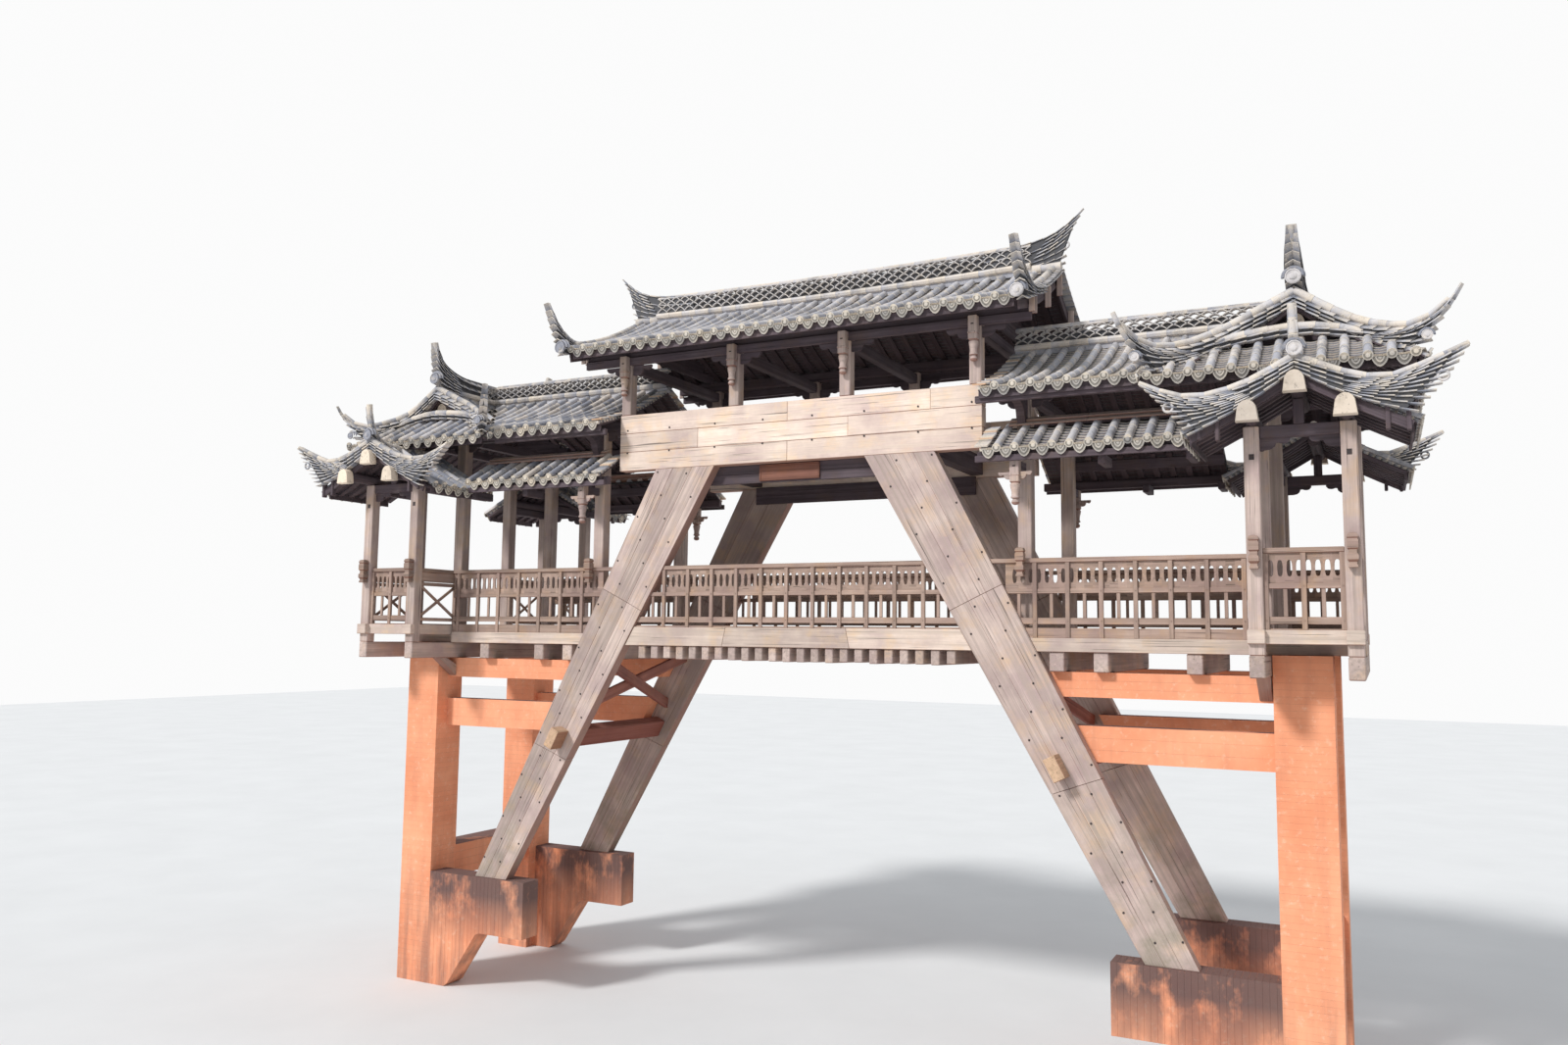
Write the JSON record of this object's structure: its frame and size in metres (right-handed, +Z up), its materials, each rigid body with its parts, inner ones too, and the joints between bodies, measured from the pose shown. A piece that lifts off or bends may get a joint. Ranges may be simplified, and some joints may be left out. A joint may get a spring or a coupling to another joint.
{
  "type": "covered timber bridge on concrete piers",
  "caption": "Covered timber bridge: raking legs and a plank-clad top beam on concrete piers, a railed deck, and tiled roofs with upswept horns.",
  "frame": {"origin": "on the ground, midway between the four concrete piers", "axes": "+X along the bridge, +Y across it towards its rear side, +Z up"},
  "size_m": [18.2568, 6.32, 12.7],
  "materials": {
    "concrete": "matte",
    "weathered_timber": "matte",
    "pale_timber": "matte",
    "dark_timber": "matte",
    "roof_tile": "matte",
    "cap_clay": "matte"
  },
  "bodies": {
    "root": {"pier_front_left": "concrete", "pier_front_right": "concrete", "pier_rear_left": "concrete", "pier_rear_right": "concrete", "pier_beams_left": "concrete", "pier_beams_right": "concrete", "leg_front_left": "weathered_timber", "leg_front_right": "weathered_timber", "leg_rear_left": "weathered_timber", "leg_rear_right": "weathered_timber", "leg_crossbeam_left": "dark_timber", "leg_crossbeam_right": "dark_timber", "leg_brace_left": "dark_timber", "leg_brace_right": "dark_timber", "top_beam_front": "pale_timber", "top_beam_rear": "pale_timber", "top_crossbeams": "dark_timber", "name_boards": "dark_timber", "edge_beams_left": "pale_timber", "edge_beams_centre": "pale_timber", "edge_beams_right": "pale_timber", "deck_joists": "weathered_timber", "deck_stringers": "weathered_timber", "deck_floor": "weathered_timber", "porch_knees": "weathered_timber", "railing_front_left": "weathered_timber", "railing_front_centre": "weathered_timber", "railing_front_right": "weathered_timber", "railing_rear_left": "weathered_timber", "railing_rear_centre": "weathered_timber", "railing_rear_right": "weathered_timber", "posts_left": "weathered_timber", "posts_right": "weathered_timber", "upper_posts": "weathered_timber", "pendants": "pale_timber", "tie_beams_left": "dark_timber", "tie_beams_centre": "dark_timber", "tie_beams_right": "dark_timber", "middle_roof": "roof_tile", "middle_ridge": "roof_tile", "side_roof_left": "roof_tile", "side_roof_right": "roof_tile", "side_ridge_left": "roof_tile", "side_ridge_right": "roof_tile", "porch_roof_left": "roof_tile", "porch_roof_right": "roof_tile", "pent_roof_left": "roof_tile", "pent_roof_right": "roof_tile", "purlin_caps": "cap_clay"}
  },
  "joints": []
}
